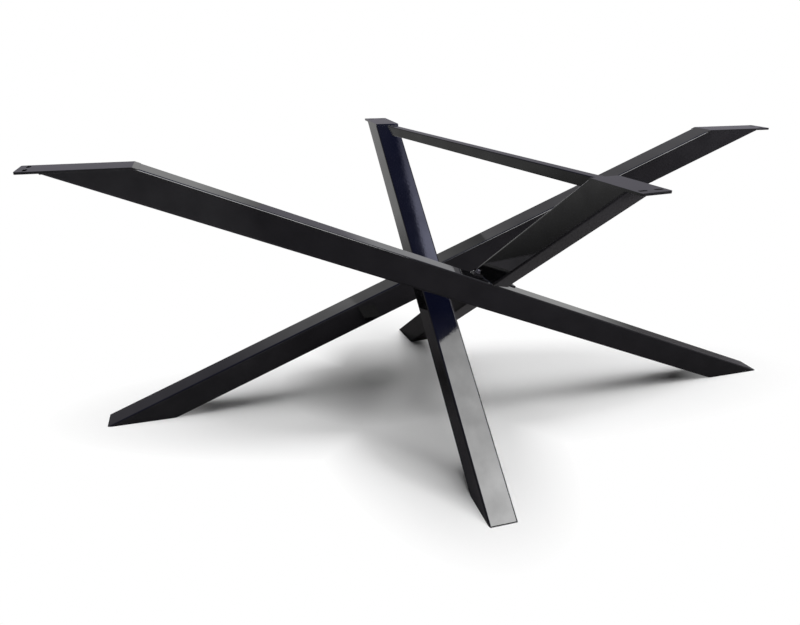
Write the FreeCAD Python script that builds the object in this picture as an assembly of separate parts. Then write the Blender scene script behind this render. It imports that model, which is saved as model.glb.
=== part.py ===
# X-shaped table base: four square tubes that cross at mid height, four top plates, a tie bar.
# Millimetres. X runs along the two long beams, Y across them, Z up.
# The origin is on the floor, under the middle of the outline.
import FreeCAD
import Part
import math
import os

V = FreeCAD.Vector

# Sizes of the base
HEIGHT = 730.0          # floor to the top faces of the plates
TUBE = 70.0             # outside of the square tube
WALL = 3.0              # its wall
CORNER = 5.0            # its outer corner radius
FOOT_T = 5.0            # closing plate of each foot

# The two long beams, side by side; places are measured from the middle between them
LONG_Y = 104.0          # their axes run at -LONG_Y and +LONG_Y
LONG_TOP = 887.0        # reach of a long beam at its top
LONG_FOOT = 899.0       # reach of a long beam at its foot

# The two cross beams. Each bites into the left long beam and passes the right one with a gap.
# The back one goes under the left and over the right, the front one over the left and under it.
CROSS_ROOM = 1.75 * TUBE       # height from axis to axis at which two slanting tubes just touch
BACK_X = -107.0         # where the back one crosses both long beams
BACK_BITE = 12.65
BACK_GAP = 11.8
FRONT_LEFT_X = 53.7     # where the front one crosses the left long beam
FRONT_RIGHT_X = 31.0    # where it crosses the right one
FRONT_BITE = 57.2
FRONT_GAP = 14.0

# Top plates
PLATE_T = 5.0
PLATE_R = 4.0           # corners of the tab
LONG_TAB = 30.0         # how far the plate runs past the sharp end of a long beam
CROSS_TAB = 28.0        # the same on a cross beam
SLOT_L = 20.0           # screw slots, across the plate
SLOT_W = 8.0
SLOT_EDGE = 17.0        # slot centre to the end of the tab
SLOT_PITCH = 36.0       # between the centres of the two slots

# Tie bar between the two cross beams, under the plates
BAR = 25.0
BAR_WALL = 2.0
BAR_CORNER = 2.5
BAR_BACK_SIDE = 17.0    # its end to the middle of the back beam, along X
BAR_FRONT_SIDE = 1.4    # its end to the middle of the front beam, along X

# Round packing pieces between beams that pass each other with a gap
PACKING_D = 36.0

# Screw ears of the front beam, on the upper face of the left long beam
EAR_T = 6.0
EAR_L = 28.0            # from the side of the front beam to the end of the ear
EAR_W = 20.0
EAR_SIDE = 20.0         # middle of the ears to the middle of the long beam
SCREW_D = 8.0
SCREW_L = 22.0          # under the head
HEAD_D = 13.0
HEAD_H = 8.0
SOCKET_AF = 6.0
SOCKET_H = 4.0
WASHER_D = 16.0
WASHER_T = 1.6
BUSH_D = 13.0           # threaded bush in the wall of the long beam
BUSH_L = 16.0
CLEARANCE = 0.5         # of the screw in its ear and washer


class Beam:
    """A square tube between two plan points, cut level at the floor and at the top."""

    def __init__(self, top, foot):
        self.top = V(top[0], top[1], HEIGHT)
        self.foot = V(foot[0], foot[1], 0.0)
        run = V(top[0] - foot[0], top[1] - foot[1], 0.0)
        self.run = run.Length
        self.p = run.normalize()                    # level, from the foot towards the top
        self.q = V(-self.p.y, self.p.x, 0.0)        # level, across the beam
        self.axis = (self.top - self.foot).normalize()
        self.up = self.axis.cross(self.q)           # square to the upper face
        if self.up.z < 0:
            self.up = self.up * -1
        self.angle = math.atan2(HEIGHT, self.run)
        self.half_cut = TUBE / 2 / math.sin(self.angle)

    def at_height(self, z):
        return self.foot + (self.top - self.foot) * (z / HEIGHT)

    def height_at_x(self, x):
        return HEIGHT * (x - self.foot.x) / (self.top.x - self.foot.x)

    def bar(self, size, radius):
        """A solid square bar on the axis, longer than the beam at both ends."""
        spare = TUBE * 3
        length = (self.top - self.foot).Length + 2 * spare
        bar = square_bar(size, radius, length)
        return placed(bar, self.foot - self.axis * spare, self.q, self.axis)

    def outer(self):
        return self.bar(TUBE, CORNER)

    def tube(self):
        hollow = self.outer().cut(self.bar(TUBE - 2 * WALL, CORNER - WALL))
        return hollow.common(slab(FOOT_T, HEIGHT - PLATE_T))

    def foot_plate(self):
        return self.outer().common(slab(0.0, FOOT_T))


def beam_through(a, b):
    """The beam whose axis passes through two points."""
    top, foot = (a + (b - a) * ((z - a.z) / (b.z - a.z)) for z in (HEIGHT, 0.0))
    return Beam((top.x, top.y), (foot.x, foot.y))


def placed(shape, origin, x, z):
    """The shape with its own x and z axes turned to x and z, and its origin moved."""
    y = z.cross(x)
    m = FreeCAD.Matrix(x.x, y.x, z.x, origin.x, x.y, y.y, z.y, origin.y,
                       x.z, y.z, z.z, origin.z, 0, 0, 0, 1)
    out = shape.copy()
    out.Placement = FreeCAD.Placement(m)
    return out


def square_bar(size, radius, length):
    box = Part.makeBox(size, size, length, V(-size / 2, -size / 2, 0))
    upright = [e for e in box.Edges if abs(e.Vertexes[0].Z - e.Vertexes[1].Z) > length / 2]
    return box.makeFillet(radius, upright)


def slab(z0, z1):
    half = 4 * LONG_FOOT
    return Part.makeBox(2 * half, 2 * half, z1 - z0, V(-half, -half, z0))


def biggest(shape):
    """The largest solid of a shape, with its split faces joined."""
    return max(shape.removeSplitter().Solids, key=lambda s: s.Volume)


def top_plate(beam, tab):
    """Flat plate on the level top cut of a beam; it ends as a tab with two screw slots.

    Its other end is cut along the upper face of the tube, which it carries on to the table top.
    """
    start, end = -beam.half_cut, beam.half_cut + tab
    under = start - PLATE_T / math.tan(beam.angle)
    side_view = [V(under, -TUBE / 2, 0), V(end, -TUBE / 2, 0), V(end, -TUBE / 2, PLATE_T),
                 V(start, -TUBE / 2, PLATE_T)]
    blank = Part.Face(Part.makePolygon(side_view + side_view[:1])).extrude(V(0, TUBE, 0))
    corners = [e for e in blank.Edges
               if abs(e.Vertexes[0].Z - e.Vertexes[1].Z) > PLATE_T / 2 and e.BoundBox.XMin > end - 1]
    plate = blank.makeFillet(PLATE_R, corners)
    for side in (-1, 1):
        plate = plate.cut(slot(end - SLOT_EDGE, side * SLOT_PITCH / 2))
    corner = V(beam.top.x, beam.top.y, HEIGHT - PLATE_T)
    return placed(plate, corner, beam.p, V(0, 0, 1))


def slot(x, y):
    straight = SLOT_L - SLOT_W
    body = Part.makeBox(SLOT_W, straight, 3 * PLATE_T, V(x - SLOT_W / 2, y - straight / 2, -PLATE_T))
    for end in (-1, 1):
        centre = V(x, y + end * straight / 2, -PLATE_T)
        body = body.fuse(Part.makeCylinder(SLOT_W / 2, 3 * PLATE_T, centre))
    return body


def tie_bar(back, front):
    """Level square tube from the back beam to the front beam, cut to their upper faces."""
    z = HEIGHT - PLATE_T - BAR / 2
    ends = []
    for beam, side in ((back, BAR_BACK_SIDE), (front, BAR_FRONT_SIDE)):
        edge = beam.at_height(z) - beam.p * beam.half_cut
        ends.append(V(beam.at_height(z).x + side, edge.y, z))
    way = (ends[1] - ends[0]).normalize()
    spare = TUBE / 2
    length = (ends[1] - ends[0]).Length + 2 * spare
    outer = square_bar(BAR, BAR_CORNER, length)
    inner = square_bar(BAR - 2 * BAR_WALL, BAR_CORNER / 5, length)
    bar = placed(outer.cut(inner), ends[0] - way * spare, V(-way.y, way.x, 0), way)
    return biggest(bar.cut(back.outer()).cut(front.outer()))


def nearest(one, other):
    """The two points where the axes of two beams pass closest."""
    d1, d2 = one.axis, other.axis
    w = one.foot - other.foot
    b = d1.dot(d2)
    s = (b * d2.dot(w) - d1.dot(w)) / (1 - b * b)
    t = (d2.dot(w) - b * d1.dot(w)) / (1 - b * b)
    return one.foot + d1 * s, other.foot + d2 * t


def packing(lower, upper):
    """Round piece between two beams that pass with a gap, coped to both."""
    a, b = nearest(lower, upper)
    pin = Part.makeCylinder(PACKING_D / 2, (b - a).Length, a, b - a)
    return biggest(pin.cut(lower.outer()).cut(upper.outer()))


def ear_spots(front, under):
    """Screw points on the upper face of the beam below, left and right of the front beam.

    Each is a point of that face, with the level direction from the front beam to the point.
    """
    spots = []
    y = under.top.y + EAR_SIDE
    mid = front.foot + (front.top - front.foot) * ((y - front.foot.y) / (front.top.y - front.foot.y))
    for way in (-1, 1):
        x = mid.x + way * (TUBE / 2 / abs(front.q.x) + EAR_L / 2)
        start = under.foot + under.up * (TUBE / 2)
        point = start + under.axis * ((x - start.x) / under.axis.x)
        spots.append((V(point.x, y, point.z), under.axis * (way if under.axis.x > 0 else -way)))
    return spots


def ear(spot, out, up, front):
    """Plate on the long beam, welded to the side of the front beam, with a hole for its screw."""
    inside = TUBE / 2
    box = Part.makeBox(inside + EAR_L, EAR_W, EAR_T, V(-inside - EAR_L / 2, -EAR_W / 2, 0))
    box = box.cut(Part.makeCylinder((SCREW_D + CLEARANCE) / 2, EAR_T, V(0, 0, 0)))
    return biggest(placed(box, spot, out, up).cut(front.outer()))


def washer():
    ring = Part.makeCylinder(WASHER_D / 2, WASHER_T, V(0, 0, EAR_T))
    return ring.cut(Part.makeCylinder((SCREW_D + CLEARANCE) / 2, WASHER_T, V(0, 0, EAR_T)))


def screw():
    """Socket head screw; z = 0 is the face of the long beam."""
    seat = EAR_T + WASHER_T
    head = Part.makeCylinder(HEAD_D / 2, HEAD_H, V(0, 0, seat))
    rim = [e for e in head.Edges
           if abs(e.BoundBox.ZMin - seat - HEAD_H) < 1e-6 and e.BoundBox.XLength > HEAD_D / 2]
    head = head.makeChamfer(HEAD_H / 10, rim)
    points = [V(SOCKET_AF / math.sqrt(3) * math.cos(math.radians(60 * k)),
                SOCKET_AF / math.sqrt(3) * math.sin(math.radians(60 * k)),
                seat + HEAD_H - SOCKET_H) for k in range(7)]
    socket = Part.Face(Part.makePolygon(points)).extrude(V(0, 0, SOCKET_H))
    shank = Part.makeCylinder(SCREW_D / 2, SCREW_L, V(0, 0, seat - SCREW_L))
    return biggest(head.cut(socket).fuse(shank))


def bush_hole():
    return Part.makeCylinder(BUSH_D / 2, BUSH_L, V(0, 0, -BUSH_L))


def bush():
    return bush_hole().cut(Part.makeCylinder(SCREW_D / 2, BUSH_L, V(0, 0, -BUSH_L)))


def group(shapes):
    return Part.makeCompound(list(shapes))


def make_pieces():
    """Every piece by its name, placed from the middle between the two long beams."""
    left = Beam((-LONG_TOP, -LONG_Y), (LONG_FOOT, -LONG_Y))
    right = Beam((LONG_TOP, LONG_Y), (-LONG_FOOT, LONG_Y))
    back = beam_through(
        V(BACK_X, -LONG_Y, left.height_at_x(BACK_X) - CROSS_ROOM + BACK_BITE),
        V(BACK_X, LONG_Y, right.height_at_x(BACK_X) + CROSS_ROOM + BACK_GAP))
    front = beam_through(
        V(FRONT_LEFT_X, -LONG_Y, left.height_at_x(FRONT_LEFT_X) + CROSS_ROOM - FRONT_BITE),
        V(FRONT_RIGHT_X, LONG_Y, right.height_at_x(FRONT_RIGHT_X) - CROSS_ROOM - FRONT_GAP))
    spots = ear_spots(front, left)

    def on_long_beam(shape):
        return [placed(shape, spot, out, left.up) for spot, out in spots]

    pieces = {
        "long_beam_left": biggest(left.tube().cut(on_long_beam(bush_hole()))),
        "long_beam_right": biggest(right.tube()),
        "cross_beam_back": biggest(back.tube().cut(left.outer())),
        "cross_beam_front": biggest(front.tube().cut(left.outer())),
    }
    for name, beam, tab in (("left", left, LONG_TAB), ("right", right, LONG_TAB),
                            ("back", back, CROSS_TAB), ("front", front, CROSS_TAB)):
        pieces["top_plate_" + name] = top_plate(beam, tab)
        pieces["foot_plate_" + name] = biggest(beam.foot_plate())
    pieces["tie_bar"] = tie_bar(back, front)
    pieces["packing_back"] = packing(right, back)
    pieces["packing_front"] = packing(front, right)
    for name, (spot, out) in zip(("left", "right"), spots):
        pieces["ear_" + name] = ear(spot, out, left.up, front)
    pieces["ear_washers"] = group(on_long_beam(washer()))
    pieces["ear_screws"] = group(on_long_beam(screw()))
    pieces["threaded_bushes"] = group(on_long_beam(bush()))
    return pieces


def main():
    os.makedirs("parts", exist_ok=True)
    pieces = make_pieces()
    outline = group(pieces.values()).BoundBox
    shift = V(-(outline.XMin + outline.XMax) / 2, -(outline.YMin + outline.YMax) / 2, 0)
    print("shift to the middle of the outline", [round(c, 3) for c in shift])
    for name, shape in pieces.items():
        moved = shape.copy()
        moved.translate(shift)
        moved.exportStep("parts/%s.step" % name)
        print(name, len(moved.Solids), "solid(s)", round(moved.Volume / 1000.0, 1), "cm3", moved.isValid())


main()
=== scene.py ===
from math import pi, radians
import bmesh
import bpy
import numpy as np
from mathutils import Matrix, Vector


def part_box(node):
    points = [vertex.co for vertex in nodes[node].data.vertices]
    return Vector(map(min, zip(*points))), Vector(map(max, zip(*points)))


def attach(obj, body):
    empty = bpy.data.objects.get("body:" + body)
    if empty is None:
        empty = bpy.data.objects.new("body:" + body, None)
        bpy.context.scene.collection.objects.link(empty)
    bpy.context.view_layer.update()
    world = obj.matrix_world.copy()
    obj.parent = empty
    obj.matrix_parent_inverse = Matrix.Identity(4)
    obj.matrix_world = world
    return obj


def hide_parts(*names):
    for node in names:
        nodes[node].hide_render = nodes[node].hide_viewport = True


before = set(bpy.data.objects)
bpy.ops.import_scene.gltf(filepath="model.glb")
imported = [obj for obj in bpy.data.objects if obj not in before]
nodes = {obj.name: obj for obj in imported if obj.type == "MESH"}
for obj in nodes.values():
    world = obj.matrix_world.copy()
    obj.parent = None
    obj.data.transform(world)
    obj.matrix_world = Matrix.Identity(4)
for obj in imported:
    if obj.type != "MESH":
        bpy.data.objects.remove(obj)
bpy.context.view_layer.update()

# %% [markdown]
# # An X-shaped table base in black powder coat
# Four slanting square tubes cross at mid height. Each carries a level plate at its top, and a thin bar
# ties two of them together. This scene gives the plain CAD frame crisp walls with round corners, weld
# beads, bevelled plates, a glossy black paint, and the light of a studio.

# %% [markdown]
# ## The camera
# The camera was worked out from the straight edges of the tubes. It stands in front of the base, a
# little to the left, 0.97 m above the floor, and looks down at it by 25 degrees.
# A camera looks along its own -Z, so its matrix is its right, its up and its backward direction.

# %% Camera
CAMERA_PLACE = Vector((-0.6435, -1.4672, 0.9728))
CAMERA_HEADING = 16.28      # degrees to the right of +Y
CAMERA_PITCH = -25.37       # degrees above the horizon
CAMERA_ROLL = 0.553         # degrees
FOCAL_PIXELS = 613.72       # focal length, in pixels of a picture 800 wide
SHIFT_RIGHT, SHIFT_UP = 0.0123, 0.0184      # shift of the picture, in widths of it


def look(heading, pitch, roll):
    """Right, up and forward directions: turn by heading, then pitch, then roll about the view."""
    h, p, r = radians(heading), radians(pitch), radians(roll)
    forward = Vector((np.sin(h) * np.cos(p), np.cos(h) * np.cos(p), np.sin(p)))
    level = Vector((np.cos(h), -np.sin(h), 0.0))
    above = level.cross(forward)
    right = level * np.cos(r) + above * np.sin(r)
    up = above * np.cos(r) - level * np.sin(r)
    return right, up, forward


right, up, forward = look(CAMERA_HEADING, CAMERA_PITCH, CAMERA_ROLL)
camera_data = bpy.data.cameras.new("camera")
camera_data.sensor_width = 36.0
camera_data.lens = FOCAL_PIXELS * 36.0 / 800.0
camera_data.shift_x, camera_data.shift_y = SHIFT_RIGHT, SHIFT_UP
camera = bpy.data.objects.new("camera", camera_data)
bpy.context.scene.collection.objects.link(camera)
turn = Matrix((right, up, -forward)).transposed().to_4x4()
camera.matrix_world = Matrix.Translation(CAMERA_PLACE) @ turn
bpy.context.scene.camera = camera
print("camera lens", round(camera_data.lens, 2), "mm")

# %% [markdown]
# ## Black powder coat
# The paint is nearly black and mirrors the room: bright walls where the lamp shows in them, dark ones
# where they face the shadows. Three noises make it paint and not plastic. A slow cloud varies how
# sharply and how strongly it mirrors, a wave bends the reflections like orange peel, and a grain
# roughens the film. Their scales are in waves per metre, because the scene is in metres.

# %% Helpers for materials


def new_material(name):
    material = bpy.data.materials.new(name)
    material.use_nodes = True
    tree = material.node_tree
    return material, tree, tree.nodes["Principled BSDF"]


def noise(tree, scale, detail):
    place = tree.nodes.new("ShaderNodeTexCoord")
    node = tree.nodes.new("ShaderNodeTexNoise")
    node.inputs["Scale"].default_value = scale
    node.inputs["Detail"].default_value = detail
    tree.links.new(place.outputs["Object"], node.inputs["Vector"])
    return node.outputs["Fac"]


def spread(tree, source, low, high, start=0.0, end=1.0):
    """Maps a value that runs from start to end to low..high, and keeps it there outside."""
    node = tree.nodes.new("ShaderNodeMapRange")
    for socket, value in (("From Min", start), ("From Max", end), ("To Min", low), ("To Max", high)):
        node.inputs[socket].default_value = value
    tree.links.new(source, node.inputs["Value"])
    return node.outputs["Result"]


def share(tree, source, start, end):
    """0 up to start, 1 from end on, and a straight rise between them."""
    return spread(tree, source, 0.0, 1.0, start, end)


def blend(tree, a, b, factor):
    """Colour between two colours; each is a tuple or the output of a node."""
    node = tree.nodes.new("ShaderNodeMix")
    node.data_type = "RGBA"
    tree.links.new(factor, node.inputs["Factor"])
    for socket, value in ((node.inputs[6], a), (node.inputs[7], b)):
        if isinstance(value, tuple):
            socket.default_value = (*value, 1.0)
        else:
            tree.links.new(value, socket)
    return node.outputs[2]


def bumped(tree, source, height, below=None):
    """A bump of this real height in metres, on top of another one."""
    node = tree.nodes.new("ShaderNodeBump")
    node.inputs["Strength"].default_value = 1.0
    node.inputs["Distance"].default_value = height
    tree.links.new(source, node.inputs["Height"])
    if below is not None:
        tree.links.new(below, node.inputs["Normal"])
    return node.outputs["Normal"]


def math_node(tree, operation, a, b):
    """The result for two outputs of nodes."""
    node = tree.nodes.new("ShaderNodeMath")
    node.operation = operation
    for socket, value in zip(node.inputs, (a, b)):
        tree.links.new(value, socket)
    return node.outputs["Value"]


def vector_node(tree, operation, a, b=(0.0, 0.0, 0.0)):
    """The outputs for the output of a node and a fixed vector."""
    node = tree.nodes.new("ShaderNodeVectorMath")
    node.operation = operation
    tree.links.new(a, node.inputs[0])
    node.inputs[1].default_value = b
    return node.outputs


print("helpers:", *(f.__name__ for f in (noise, spread, share, blend, bumped, math_node, vector_node)))

# %% The paint and the screw steel
CLOUD, WAVE, GRAIN = 18.0, 130.0, 1100.0            # waves per metre
WAVE_HEIGHT, GRAIN_HEIGHT = 0.000012, 0.000002      # metres


def powder_coat(name, colour):
    material, tree, shader = new_material(name)
    cloud = noise(tree, CLOUD, 6.0)
    shader.inputs["Base Color"].default_value = (*colour, 1.0)
    shader.inputs["IOR"].default_value = 1.42
    tree.links.new(spread(tree, cloud, 0.40, 0.60, 0.2, 0.8), shader.inputs["Specular IOR Level"])
    tree.links.new(spread(tree, cloud, 0.02, 0.05, 0.2, 0.8), shader.inputs["Roughness"])
    wave = bumped(tree, noise(tree, WAVE, 1.0), WAVE_HEIGHT)
    grain = bumped(tree, noise(tree, GRAIN, 2.0), GRAIN_HEIGHT, wave)
    tree.links.new(grain, shader.inputs["Normal"])
    return material


def dark_steel(name):
    material, tree, shader = new_material(name)
    shader.inputs["Base Color"].default_value = (0.10, 0.10, 0.11, 1.0)
    shader.inputs["Metallic"].default_value = 1.0
    tree.links.new(spread(tree, noise(tree, 700.0, 3.0), 0.22, 0.40), shader.inputs["Roughness"])
    return material


PAINT = powder_coat("black powder coat", (0.005, 0.005, 0.0058))
STEEL = dark_steel("black screw steel")
STEEL_PIECES = ("ear_washers", "ear_screws", "threaded_bushes")
for name, node in nodes.items():
    node.data.materials.clear()
    node.data.materials.append(STEEL if name in STEEL_PIECES else PAINT)
print("materials:", PAINT.name, "and", STEEL.name)

# %% [markdown]
# ## Walls, corners and level cuts
# A square tube is a section carried along a straight axis. The section is a square with round corners,
# and the tubes end in level cuts: a wall point runs along the axis until it reaches the height of the
# cut. Each point keeps its true normal, so the walls stay flat right up to the round corners.

# %% Sections


def rounded_square(size, radius, steps=8):
    """Points and normals of a square with round corners, counterclockwise.

    Each corner is a quarter circle about a point that lies one radius inside both of its walls.
    """
    inner = size / 2 - radius
    points, normals = [], []
    for corner in range(4):
        middle = np.array([inner if corner in (0, 3) else -inner, inner if corner in (0, 1) else -inner])
        angles = np.linspace(0, pi / 2, steps + 1) + corner * pi / 2
        normal = np.column_stack([np.cos(angles), np.sin(angles)])
        points.append(middle + radius * normal)
        normals.append(normal)
    return np.concatenate(points), np.concatenate(normals)


def circle(radius, count):
    """Points and normals of a circle, counterclockwise."""
    angles = np.arange(count) * 2 * pi / count
    normal = np.column_stack([np.cos(angles), np.sin(angles)])
    return radius * normal, normal


print("a square section with round corners has", len(rounded_square(1.0, 0.1)[0]), "points")

# %% Meshes from rows of points


def skin(name, rows, material, slot, normals=None, loop=False):
    """A closed surface through rows of points, each row one turn around the piece.

    The two ends are capped, or joined when the rows run in a loop. Normals are those of the walls.
    """
    count, around = rows.shape[:2]
    index = np.arange(count * around).reshape(count, around)
    following = np.roll(index, -1, axis=0) if loop else index[1:]
    here = index if loop else index[:-1]
    beside, beyond = np.roll(here, -1, axis=1), np.roll(following, -1, axis=1)
    quads = np.stack([here, beside, beyond, following], axis=-1).reshape(-1, 4)
    faces = quads.tolist()
    if not loop:
        faces += [index[0][::-1].tolist(), index[-1].tolist()]
    mesh = bpy.data.meshes.new(name)
    mesh.from_pydata(rows.reshape(-1, 3).tolist(), [], faces)
    mesh.polygons.foreach_set("use_smooth", [True] * len(quads) + [False] * (len(faces) - len(quads)))
    if normals is not None:
        flat = np.broadcast_to(normals, rows.shape).reshape(-1, 3)
        split = flat[quads.reshape(-1)].tolist()
        for cap in mesh.polygons[len(quads):]:
            split += [cap.normal[:]] * cap.loop_total
        mesh.normals_split_custom_set(split)
    mesh.materials.append(material)
    piece = bpy.data.objects.new(name, mesh)
    bpy.context.scene.collection.objects.link(piece)
    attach(piece, "root")
    return piece


print("helper:", skin.__name__, "makes a closed mesh from rows of points")

# %% Bars of any section


class Bar:
    """A section carried along an axis; across and up span the section, and up points upwards."""

    def __init__(self, start, end, section):
        self.start = np.array(start, float)
        axis = np.array(end, float) - self.start
        self.length = np.linalg.norm(axis)
        self.axis = axis / self.length
        level = np.array([self.axis[0], self.axis[1], 0.0])
        self.level = level / np.linalg.norm(level)
        self.across = np.array([-self.level[1], self.level[0], 0.0])
        self.up = np.cross(self.axis, self.across)
        self.points, self.normals = section

    def wall(self, pair):
        """A point or direction of the section, turned into space."""
        return pair[..., :1] * self.across + pair[..., 1:] * self.up

    def at_height(self, z):
        return self.start + self.axis * ((z - self.start[2]) / self.axis[2])

    def rows_between_heights(self, low, high, count=2):
        """Each wall point goes along the axis until it reaches the height of its row."""
        offset = self.wall(self.points)
        rows = []
        for z in np.linspace(low, high, count):
            along = (z - self.start[2] - offset[:, 2]) / self.axis[2]
            rows.append(self.start + offset + along[:, None] * self.axis)
        return np.array(rows)

    def rows_along(self, first, last, count=2):
        """Square cuts at distances from the start."""
        along = np.linspace(first, last, count)[:, None, None]
        return self.start + self.wall(self.points) + along * self.axis


print("up on a bar along +X is", Bar((0, 0, 0), (1, 0, 0), circle(0.01, 8)).up)

# %% [markdown]
# ## The four tubes
# The two long tubes lie side by side and lean to opposite sides. Each cross tube is known by the two
# heights at which it crosses them: two slanting tubes just touch when their axes are CROSS_ROOM apart,
# and from there each crossing has its bite or its gap.

# %% Sizes of the base, in metres
HEIGHT, TUBE, CORNER, PLATE = 0.730, 0.070, 0.005, 0.005
LONG_TOP, LONG_FOOT = 0.887, 0.899      # reach of the long tubes at their tops and feet
CROSS_ROOM = 1.75 * TUBE
BACK_X, BACK_BITE, BACK_GAP = -0.107, 0.01265, 0.0118
FRONT_LEFT_X, FRONT_RIGHT_X, FRONT_BITE, FRONT_GAP = 0.0537, 0.031, 0.0572, 0.014
BAR, BAR_CORNER, BAR_BACK_SIDE, BAR_FRONT_SIDE = 0.025, 0.0025, 0.017, 0.0014
LEFT_Y, RIGHT_Y = (sum(corner[1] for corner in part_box(name)) / 2
                   for name in ("long_beam_left", "long_beam_right"))
SQUARE = rounded_square(TUBE, CORNER)


def tube_through(a, b):
    """The tube whose axis passes through two points, from the floor to the full height."""
    a, b = np.array(a), np.array(b)
    foot, top = (a + (b - a) * ((z - a[2]) / (b[2] - a[2])) for z in (0.0, HEIGHT))
    return Bar(foot, top, SQUARE)


def height_at(tube, x):
    return (tube.start + tube.axis * ((x - tube.start[0]) / tube.axis[0]))[2]


left = Bar((LONG_FOOT, LEFT_Y, 0), (-LONG_TOP, LEFT_Y, HEIGHT), SQUARE)
far = Bar((-LONG_FOOT, RIGHT_Y, 0), (LONG_TOP, RIGHT_Y, HEIGHT), SQUARE)
back = tube_through((BACK_X, LEFT_Y, height_at(left, BACK_X) - CROSS_ROOM + BACK_BITE),
                    (BACK_X, RIGHT_Y, height_at(far, BACK_X) + CROSS_ROOM + BACK_GAP))
front = tube_through((FRONT_RIGHT_X, RIGHT_Y, height_at(far, FRONT_RIGHT_X) - CROSS_ROOM - FRONT_GAP),
                     (FRONT_LEFT_X, LEFT_Y, height_at(left, FRONT_LEFT_X) + CROSS_ROOM - FRONT_BITE))
tubes = {"long_beam_left": left, "long_beam_right": far, "cross_beam_back": back, "cross_beam_front": front}
for name, tube in tubes.items():
    rows = tube.rows_between_heights(0.0, HEIGHT - PLATE)
    piece = skin(name + "_wall", rows, PAINT, "black_steel", tube.wall(tube.normals))
    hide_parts(name, name.replace("long_beam", "foot_plate").replace("cross_beam", "foot_plate"))
    print(name, "foot", tube.start.round(4), "top", tube.at_height(HEIGHT).round(4))

# %% [markdown]
# ## The tie bar
# A thin square tube, level, just under the plates of the two cross tubes. Its ends run a little way
# into them.

# %% Tie bar


def bar_end(tube, side):
    """Where the bar meets the upper face of a cross tube."""
    z = HEIGHT - PLATE - BAR / 2
    half_cut = TUBE / 2 / tube.axis[2]      # half the length of a level cut through the tube
    middle = tube.at_height(z)
    return np.array([middle[0] + side, middle[1] - tube.level[1] * half_cut, z])


bar = Bar(bar_end(back, BAR_BACK_SIDE), bar_end(front, BAR_FRONT_SIDE), rounded_square(BAR, BAR_CORNER, 5))
sunk = 0.4 * BAR            # how far the ends run into the tubes
rows = bar.rows_along(-sunk, bar.length + sunk)
piece = skin("tie_bar_wall", rows, PAINT, "black_steel", bar.wall(bar.normals))
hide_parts("tie_bar")
print("tie bar", round(bar.length, 3), "m between the tubes")

# %% [markdown]
# ## Small parts
# The plates, ears, packings, washers, screws and bushes keep their CAD shape. A copy of each is merged,
# its flat faces are joined, and its edges get a narrow bevel, because a real edge always has a light on
# it.

# %% Bevelled copies
PAINTED_EDGE, STEEL_EDGE = 0.0006, 0.0003       # widths of the bevels, in metres


def bevelled(name, width, material, segments=2):
    """A merged copy of a CAD piece with rounded edges."""
    mesh = nodes[name].data.copy()
    work = bmesh.new()
    work.from_mesh(mesh)
    bmesh.ops.remove_doubles(work, verts=work.verts, dist=1e-6)
    bmesh.ops.dissolve_limit(work, angle_limit=radians(1.0), verts=work.verts, edges=work.edges)
    work.to_mesh(mesh)
    work.free()
    mesh.materials.clear()
    mesh.materials.append(material)
    mesh.polygons.foreach_set("use_smooth", [False] * len(mesh.polygons))
    piece = bpy.data.objects.new(name + "_bevelled", mesh)
    bpy.context.scene.collection.objects.link(piece)
    bevel = piece.modifiers.new("edges", "BEVEL")
    bevel.width, bevel.segments = width, segments
    bevel.limit_method, bevel.angle_limit = "ANGLE", radians(25)
    bevel.harden_normals = True
    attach(piece, "root")
    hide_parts(name)
    return piece


for name in [n for n in nodes if n.startswith(("top_plate", "ear_left", "ear_right", "packing"))]:
    bevelled(name, PAINTED_EDGE, PAINT)
for name in STEEL_PIECES:
    bevelled(name, STEEL_EDGE, STEEL)

# %% [markdown]
# ## Weld beads
# Where one bar meets another, a bead runs around the joint. The joint is found by walking along every
# wall line of the first bar until it enters the second and where it leaves it. The bead itself is a
# small circle carried along that line, and its radius swells and shrinks like fish scales.

# %% Joint lines
LOOKS = 1500            # places where each wall line is looked at


def depth_inside(bar, points, size, radius):
    """Distance of points from the wall of a square bar, below zero inside it."""
    offset = points - bar.start
    pair = np.abs(np.stack([offset @ bar.across, offset @ bar.up], axis=-1)) - (size / 2 - radius)
    outside = np.linalg.norm(np.maximum(pair, 0), axis=-1)
    return outside + np.minimum(pair.max(axis=-1), 0) - radius


def joint(one, other, size, reach, section, entry_only=False):
    """The closed line on the wall of bar one where it meets the square bar other."""
    wall = one.start + one.wall(section)
    along = np.linspace(*reach, LOOKS)
    depth = depth_inside(other, wall[:, None] + along[:, None] * one.axis, size, CORNER * size / TUBE)
    touching = (depth < 0).any(axis=1)
    if not touching.all():
        wall, depth = (np.roll(a, -int(np.argmin(touching)), axis=0) for a in (wall, depth))
        touching = (depth < 0).any(axis=1)
        wall, depth = wall[touching], depth[touching]
    enter = wall + along[np.argmax(depth < 0, axis=1)][:, None] * one.axis
    last = depth.shape[1] - 1 - np.argmax(depth[:, ::-1] < 0, axis=1)
    leave = (wall + along[last][:, None] * one.axis)[::-1]
    return enter if entry_only else np.concatenate([enter, leave])


def evenly(line, step, closed):
    """The same line with its points at equal steps."""
    if closed:
        line = np.concatenate([line, line[:1]])
    gaps = np.linalg.norm(np.diff(line, axis=0), axis=1)
    travel = np.concatenate([[0], np.cumsum(gaps)])
    count = max(int(travel[-1] / step), 8)
    wanted = np.linspace(0, travel[-1], count, endpoint=not closed)
    return np.column_stack([np.interp(wanted, travel, line[:, k]) for k in range(3)])


print("helpers:", *(f.__name__ for f in (depth_inside, joint, evenly)))

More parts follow.
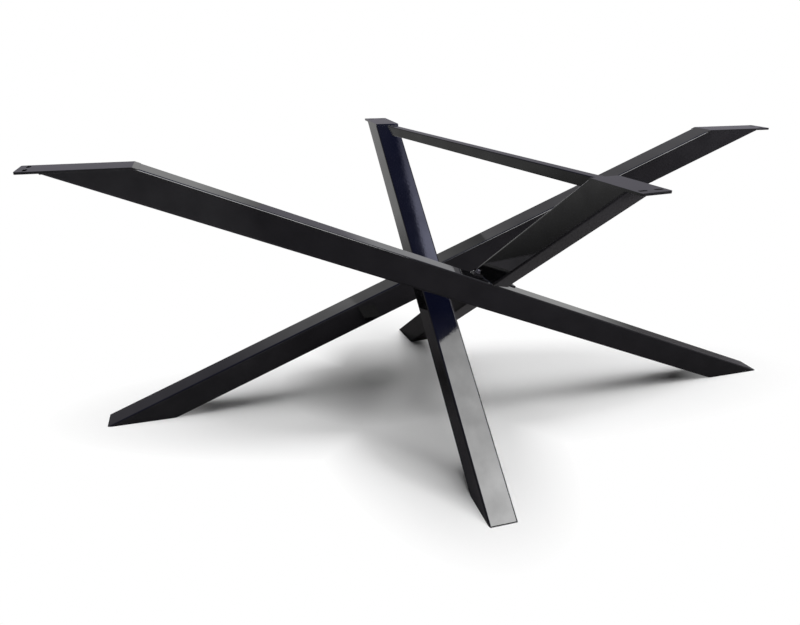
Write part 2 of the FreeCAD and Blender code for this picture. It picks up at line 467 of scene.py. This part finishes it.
# %% Beads
TUBE_BEAD, BAR_BEAD = 0.0024, 0.0018    # radii of the beads on the tubes and on the bar
RIPPLE, SWELL = 0.003, 0.13             # length of one scale of a bead, and share by which it swells
SEARCH = 0.3                            # a cross tube meets the long one within this way of its middle
OUTSIDE, INSIDE = 0.06, 0.02            # the bar's wall meets a cross tube this far from the bar's end
BELOW = 0.001                           # the beads at the plates lie this far below them


def bead(name, line, radius, closed=True):
    """A circle carried along a line; its radius follows a cosine of the way along the line.

    The circle stands square to the line. One of its axes is the cross product of the line's direction
    with the direction to the line's middle, or with a fixed slanting one on an open line, and the other
    is square to both.
    """
    step = RIPPLE / 5
    line = evenly(line, step, closed)
    if closed:
        ahead, behind = np.roll(line, -3, axis=0), np.roll(line, 3, axis=0)
    else:
        ahead = np.concatenate([line[3:], [line[-1]] * 3])
        behind = np.concatenate([[line[0]] * 3, line[:-3]])
    way = ahead - behind
    way /= np.linalg.norm(way, axis=1)[:, None]
    first = np.cross(way, line.mean(axis=0) - line) if closed else np.cross(way, [0.0, 0.3, 1.0])
    first /= np.linalg.norm(first, axis=1)[:, None]
    second = np.cross(way, first)
    swell = radius * (1 + SWELL * np.cos(np.arange(len(line)) * step / RIPPLE * 2 * pi))
    if not closed:
        from_end = np.minimum(np.arange(len(line)), np.arange(len(line))[::-1]) * step
        swell *= np.minimum(1, from_end / radius + 0.1)
    ring = circle(1.0, 10)[0]
    spokes = ring[:, :1] * first[:, None] + ring[:, 1:] * second[:, None]
    rows = line[:, None] + swell[:, None, None] * spokes
    return skin(name, rows, PAINT, "black_steel", loop=closed)


def wall_points(size, radius, step):
    """Points of a section at equal steps, close enough together for a joint line."""
    points = rounded_square(size, radius, 12)[0]
    return evenly(np.column_stack([points, np.zeros(len(points))]), step, True)[:, :2]


for name, tube in (("back", back), ("front", front)):
    middle = (LEFT_Y - tube.start[1]) / tube.axis[1]
    line = joint(tube, left, TUBE, (middle - SEARCH, middle + SEARCH), wall_points(TUBE, CORNER, 0.0015))
    bead("weld_cross_" + name, line, TUBE_BEAD)
for name, tube, reach in (("back", back, (OUTSIDE, -INSIDE)),
                          ("front", front, (bar.length - OUTSIDE, bar.length + INSIDE))):
    line = joint(bar, tube, TUBE, reach, wall_points(BAR, BAR_CORNER, 0.001), True)
    bead("weld_bar_" + name, line, BAR_BEAD)
for name, tube in tubes.items():
    low = tube.up * (-TUBE / 2) + tube.start
    z = HEIGHT - PLATE - BELOW
    middle = low + tube.axis * ((z - low[2]) / tube.axis[2])
    ends = [middle + tube.across * side * (TUBE / 2 - CORNER) for side in (-1, 1)]
    bead("weld_plate_" + name, np.array(ends), TUBE_BEAD, closed=False)

# %% [markdown]
# ## Floor
# The camera sees a white floor that goes over into the white background outside two ovals, one along the
# long tubes and one along the cross tubes. A grey spot deepens the shade behind the crossing.
# Reflections see a grey floor with the same shadows, because that is what the dark flanks of the tubes
# mirror. Its colour is painted darker behind the base than in front of it, as painted shade where the
# base shades the floor, and painted lighter at the left, as painted light.

# %% Places on the floor
# Each oval has its middle, its turn and its radii, in metres.
LONG_OVAL = (0.0, 0.03, 0.0), radians(-7.4), (1.2, 0.33, 1.0)
CROSS_OVAL = (-0.12, 0.0, 0.0), 0.0, (0.36, 0.70, 1.0)
SHADE_OVAL = (-0.21, 0.16, 0.0), 0.0, (0.30, 0.27, 1.0)
WHITE_FROM, WHITE_TO = 0.60, 0.97       # the fade to white, in radii of the nearer of the first two
SHADE_FROM, SHADE_TO = 0.15, 1.0        # the fade of the grey spot, in radii of the third
FRONT_Y, BACK_Y = -0.8, 0.1             # between these the mirrored floor darkens towards the back,
LEFT_X, RIGHT_X = -0.60, -0.40          # and between these towards the right


def oval_distance(tree, middle, turn, radii):
    """Distance from the middle of an oval, in radii: 0 at the middle and 1 on the oval."""
    place = tree.nodes.new("ShaderNodeTexCoord")
    node = tree.nodes.new("ShaderNodeMapping")
    node.vector_type = "TEXTURE"
    for socket, value in (("Location", middle), ("Rotation", (0.0, 0.0, turn)), ("Scale", radii)):
        node.inputs[socket].default_value = value
    tree.links.new(place.outputs["Object"], node.inputs["Vector"])
    return vector_node(tree, "LENGTH", node.outputs["Vector"])["Value"]


def plane(name, corners, material):
    mesh = bpy.data.meshes.new(name)
    mesh.from_pydata(corners, [], [tuple(range(len(corners)))])
    mesh.materials.append(material)
    piece = bpy.data.objects.new(name, mesh)
    bpy.context.scene.collection.objects.link(piece)
    return piece


print("ovals on the floor:", LONG_OVAL, CROSS_OVAL, SHADE_OVAL)

# %% Floor
SEEN, SEEN_SHADE = (0.88, 0.88, 0.88), (0.38, 0.38, 0.38)
# The mirrored colours hold painted shade towards the back, behind the base, and painted light at the left.
MIRRORED_BACK, MIRRORED_BACK_LEFT = (0.12, 0.115, 0.12), (0.34, 0.33, 0.36)
MIRRORED_FRONT, MIRRORED_FRONT_LEFT = (0.40, 0.38, 0.43), (0.72, 0.70, 0.76)
floor_material, tree, shader = new_material("studio floor")
shader.inputs["Roughness"].default_value = 0.9
shader.inputs["Specular IOR Level"].default_value = 0.0
ray = tree.nodes.new("ShaderNodeLightPath").outputs
place, parts, glow, mix = (tree.nodes.new("ShaderNode" + kind)
                           for kind in ("TexCoord", "SeparateXYZ", "Emission", "MixShader"))
tree.links.new(place.outputs["Object"], parts.inputs["Vector"])
to_right = share(tree, parts.outputs["X"], LEFT_X, RIGHT_X)
to_back = share(tree, parts.outputs["Y"], FRONT_Y, BACK_Y)
mirrored = blend(tree, blend(tree, MIRRORED_FRONT_LEFT, MIRRORED_FRONT, to_right),
                 blend(tree, MIRRORED_BACK_LEFT, MIRRORED_BACK, to_right), to_back)
shade = share(tree, oval_distance(tree, *SHADE_OVAL), SHADE_FROM, SHADE_TO)
colour = blend(tree, mirrored, blend(tree, SEEN_SHADE, SEEN, shade), ray["Is Camera Ray"])
tree.links.new(colour, shader.inputs["Base Color"])
nearer = math_node(tree, "MINIMUM", oval_distance(tree, *LONG_OVAL), oval_distance(tree, *CROSS_OVAL))
fade = math_node(tree, "MULTIPLY", share(tree, nearer, WHITE_FROM, WHITE_TO), ray["Is Camera Ray"])
tree.links.new(fade, mix.inputs["Fac"])
tree.links.new(shader.outputs["BSDF"], mix.inputs[1])
tree.links.new(glow.outputs["Emission"], mix.inputs[2])
tree.links.new(mix.outputs["Shader"], tree.nodes["Material Output"].inputs["Surface"])
floor = plane("floor", [(-30, -30, 0), (30, -30, 0), (30, 30, 0), (-30, 30, 0)], floor_material)
print("floor", floor.dimensions.x, "m wide")

# %% [markdown]
# ## Lamps
# Glossy paint shows lamps as mirror images, so the lamps that light and the lamp that is mirrored are
# kept apart. One large panel high up at the front right is there for reflections only: the lower cross
# tube mirrors its straight edge, so its place and turn come from that edge in the photograph, and it is
# brighter away from it. Two softboxes, a strong one at the front right and a weak one above, light the
# floor and the base, make the soft shadows, and have no mirror image.

# %% Lamp panel
LAMP_HEIGHT = 6.0
LAMP_CORNER = np.array([1.90, -1.42])   # a point of its near edge, in plan
LAMP_TURN = radians(31.9)               # of that edge, from +X
LAMP_LEFT, LAMP_RIGHT, LAMP_DEPTH = -3.6, 2.4, 3.9
LAMP_NEAR, LAMP_FAR = 7.0, 14.5         # radiance at its near edge and far from it
LAMP_RISE = 0.65                        # share of its depth where the far radiance is reached
edge_way = np.array([np.cos(LAMP_TURN), np.sin(LAMP_TURN)])
depth_way = np.array([edge_way[1], -edge_way[0]])
lamp_material, tree, shader = new_material("lamp panel")
tree.nodes.remove(shader)
deep = tree.nodes.new("ShaderNodeAttribute")
deep.attribute_name = "depth"
glow = tree.nodes.new("ShaderNodeEmission")
radiance = spread(tree, deep.outputs["Fac"], LAMP_NEAR, LAMP_FAR, 0.0, LAMP_RISE)
tree.links.new(radiance, glow.inputs["Strength"])
tree.links.new(glow.outputs["Emission"], tree.nodes["Material Output"].inputs["Surface"])
corners = [(*(LAMP_CORNER + edge_way * e + depth_way * d), LAMP_HEIGHT)
           for e, d in ((LAMP_LEFT, 0), (LAMP_RIGHT, 0), (LAMP_RIGHT, LAMP_DEPTH), (LAMP_LEFT, LAMP_DEPTH))]
lamp = plane("lamp_panel", corners, lamp_material)
lamp.data.attributes.new("depth", "FLOAT", "POINT").data.foreach_set("value", [0.0, 0.0, 1.0, 1.0])
lamp.visible_diffuse = lamp.visible_camera = False
print("lamp panel", LAMP_RIGHT - LAMP_LEFT, "by", LAMP_DEPTH, "m at", LAMP_HEIGHT, "m")

# %% Softboxes


def softbox(name, place, size, radiance):
    """A square lamp aimed at the middle of the floor; its power is radiance times pi times its area."""
    data = bpy.data.lights.new(name, "AREA")
    data.size = size
    data.energy = radiance * pi * size * size
    lamp = bpy.data.objects.new(name, data)
    lamp.location = place
    lamp.rotation_euler = Vector(place).to_track_quat("Z", "Y").to_euler()
    lamp.visible_glossy = False
    bpy.context.scene.collection.objects.link(lamp)
    print(name, round(data.energy), "W")


softbox("key softbox", (7.8, -4.2, 12.6), 9.6, 8.4)
softbox("top softbox", (0.9, 0.6, 9.0), 7.5, 3.2)

# %% [markdown]
# ## Screens and room
# The rest of what the paint mirrors is dim and graded: a screen far behind the base with its foot on the
# floor, and the room around it. From the horizon up the room has a pale band, a dark one, walls that
# differ from left to right, and a bluish ceiling with an opening for daylight. The straight edge of that
# opening shows on the upper cross tube.
# Reflections alone see all this. The camera sees plain white, and the floor gets a faint even light.

# %% Screens behind the base
SCREEN_Y, SCREEN_LEFT, SCREEN_RIGHT, SCREEN_TOP = 5, -1.0, 0.6, 3.4
FOOT_LEFT, FOOT_RIGHT, FOOT_NEAR, FOOT_FAR, FOOT_Z = -4, 7, 0.9, 12, 0.01


def glowing(name, axis, low, high, start, end):
    """A material whose glow runs from low to high along an axis, between two places on it."""
    material, tree, shader = new_material(name)
    tree.nodes.remove(shader)
    place, parts, glow = (tree.nodes.new("ShaderNode" + kind)
                          for kind in ("TexCoord", "SeparateXYZ", "Emission"))
    tree.links.new(place.outputs["Object"], parts.inputs["Vector"])
    tree.links.new(spread(tree, parts.outputs[axis], low, high, start, end), glow.inputs["Strength"])
    tree.links.new(glow.outputs["Emission"], tree.nodes["Material Output"].inputs["Surface"])
    return material


def only_mirrored(name, corners, material):
    """A plane that reflections alone see."""
    piece = plane(name, corners, material)
    piece.visible_camera = piece.visible_diffuse = piece.visible_shadow = False


only_mirrored("screen", [(SCREEN_LEFT, SCREEN_Y, 0), (SCREEN_RIGHT, SCREEN_Y, 0),
                         (SCREEN_RIGHT, SCREEN_Y, SCREEN_TOP), (SCREEN_LEFT, SCREEN_Y, SCREEN_TOP)],
              glowing("screen glow", "X", 0.66, 0.30, 0.0, SCREEN_RIGHT))
only_mirrored("screen_foot", [(FOOT_LEFT, FOOT_NEAR, FOOT_Z), (FOOT_RIGHT, FOOT_NEAR, FOOT_Z),
                              (FOOT_RIGHT, FOOT_FAR, FOOT_Z), (FOOT_LEFT, FOOT_FAR, FOOT_Z)],
              glowing("screen_foot glow", "Y", 0.12, 0.66, FOOT_NEAR, 2.0))
print("screen", SCREEN_RIGHT - SCREEN_LEFT, "by", SCREEN_TOP, "m,", SCREEN_Y, "m behind the base")

# %% World
HORIZON, DARK_BAND, CEILING = (0.60, 0.60, 0.62), (0.29, 0.28, 0.32), (0.09, 0.11, 0.34)
FAR_LEFT_WALL, LEFT_WALL, RIGHT_WALL = (0.28, 0.27, 0.31), (1.0, 1.0, 1.0), (0.52, 0.51, 0.54)
DAYLIGHT, DAYLIGHT_BEHIND = (3.4, 3.5, 4.8), (0.9, 0.92, 1.4)
FAINT, WHITE = (0.06, 0.06, 0.06), (1.0, 1.0, 1.0)
OPENING_SIDE = (1.0, 0.185, -0.3235)    # square to the straight edge of the opening, towards its inside
world = bpy.data.worlds.new("studio")
bpy.context.scene.world = world
world.use_nodes = True
tree = world.node_tree
ray = tree.nodes.new("ShaderNodeLightPath").outputs
way = tree.nodes.new("ShaderNodeSeparateXYZ")
heading = tree.nodes.new("ShaderNodeTexCoord").outputs["Generated"]
tree.links.new(heading, way.inputs["Vector"])
aside, ahead, height = (way.outputs[axis] for axis in "XYZ")
left_part = blend(tree, FAR_LEFT_WALL, LEFT_WALL, share(tree, aside, -0.33, -0.12))
wall = blend(tree, left_part, RIGHT_WALL, share(tree, aside, 0.0, 0.15))
room = blend(tree, HORIZON, DARK_BAND, share(tree, height, 0.045, 0.07))
room = blend(tree, room, wall, share(tree, height, 0.20, 0.30))
room = blend(tree, room, CEILING, share(tree, height, 0.55, 0.72))
inside = vector_node(tree, "DOT_PRODUCT", heading, OPENING_SIDE)["Value"]
opening = math_node(tree, "MULTIPLY", share(tree, inside, -0.001, 0.004), share(tree, ahead, -0.12, -0.08))
opening = math_node(tree, "MULTIPLY", opening, share(tree, height, 0.80, 0.90))
daylight = blend(tree, DAYLIGHT, DAYLIGHT_BEHIND, share(tree, ahead, -0.06, 0.12))
room = blend(tree, room, daylight, opening)
room = blend(tree, FAINT, room, ray["Is Glossy Ray"])
room = blend(tree, room, WHITE, ray["Is Camera Ray"])
background = tree.nodes["Background"]
tree.links.new(room, background.inputs["Color"])
background.inputs["Strength"].default_value = 1.0
print("world:", len(tree.nodes), "nodes")

# %% [markdown]
# ## Mirror images of the base itself
# In the photograph the tubes mirror the room and hardly each other, so the nearer ones and what stands
# on them are left out of reflections. The floor inside their feet gets no light, and would show as a
# black spot in the mirror image, so each of these feet gets a dim glowing cover that only reflections
# see: painted light in place of a lit floor.

# %% Pieces without a mirror image
COVER_HEIGHT, COVER_GLOW = 0.002, 0.3
unmirrored = ["long_beam_left_wall", "cross_beam_back_wall", "cross_beam_front_wall", "tie_bar_wall",
              "weld_bar_front", "weld_plate_cross_beam_front", "weld_cross_back", "weld_cross_front"]
unmirrored += [name + "_bevelled" for name in ("top_plate_front", "packing_back", "packing_front",
                                               "ear_left", "ear_right", *STEEL_PIECES)]
for name in unmirrored:
    bpy.data.objects[name].visible_glossy = False
# The covers glow: painted light where the floor inside the feet gets none.
cover_glow = glowing("foot cover glow", "X", COVER_GLOW, COVER_GLOW, 0.0, 1.0)
for tube in (left, back, front):
    middle = tube.start + np.array([0, 0, COVER_HEIGHT])
    reach, side = tube.level * TUBE / 2 / tube.axis[2], tube.across * TUBE / 2
    corners = [tuple(middle + reach * a + side * b) for a, b in ((-1, -1), (1, -1), (1, 1), (-1, 1))]
    only_mirrored("foot_cover", corners, cover_glow)
print("pieces without a mirror image:", len(unmirrored))

bpy.context.scene.view_settings.view_transform = "Standard"
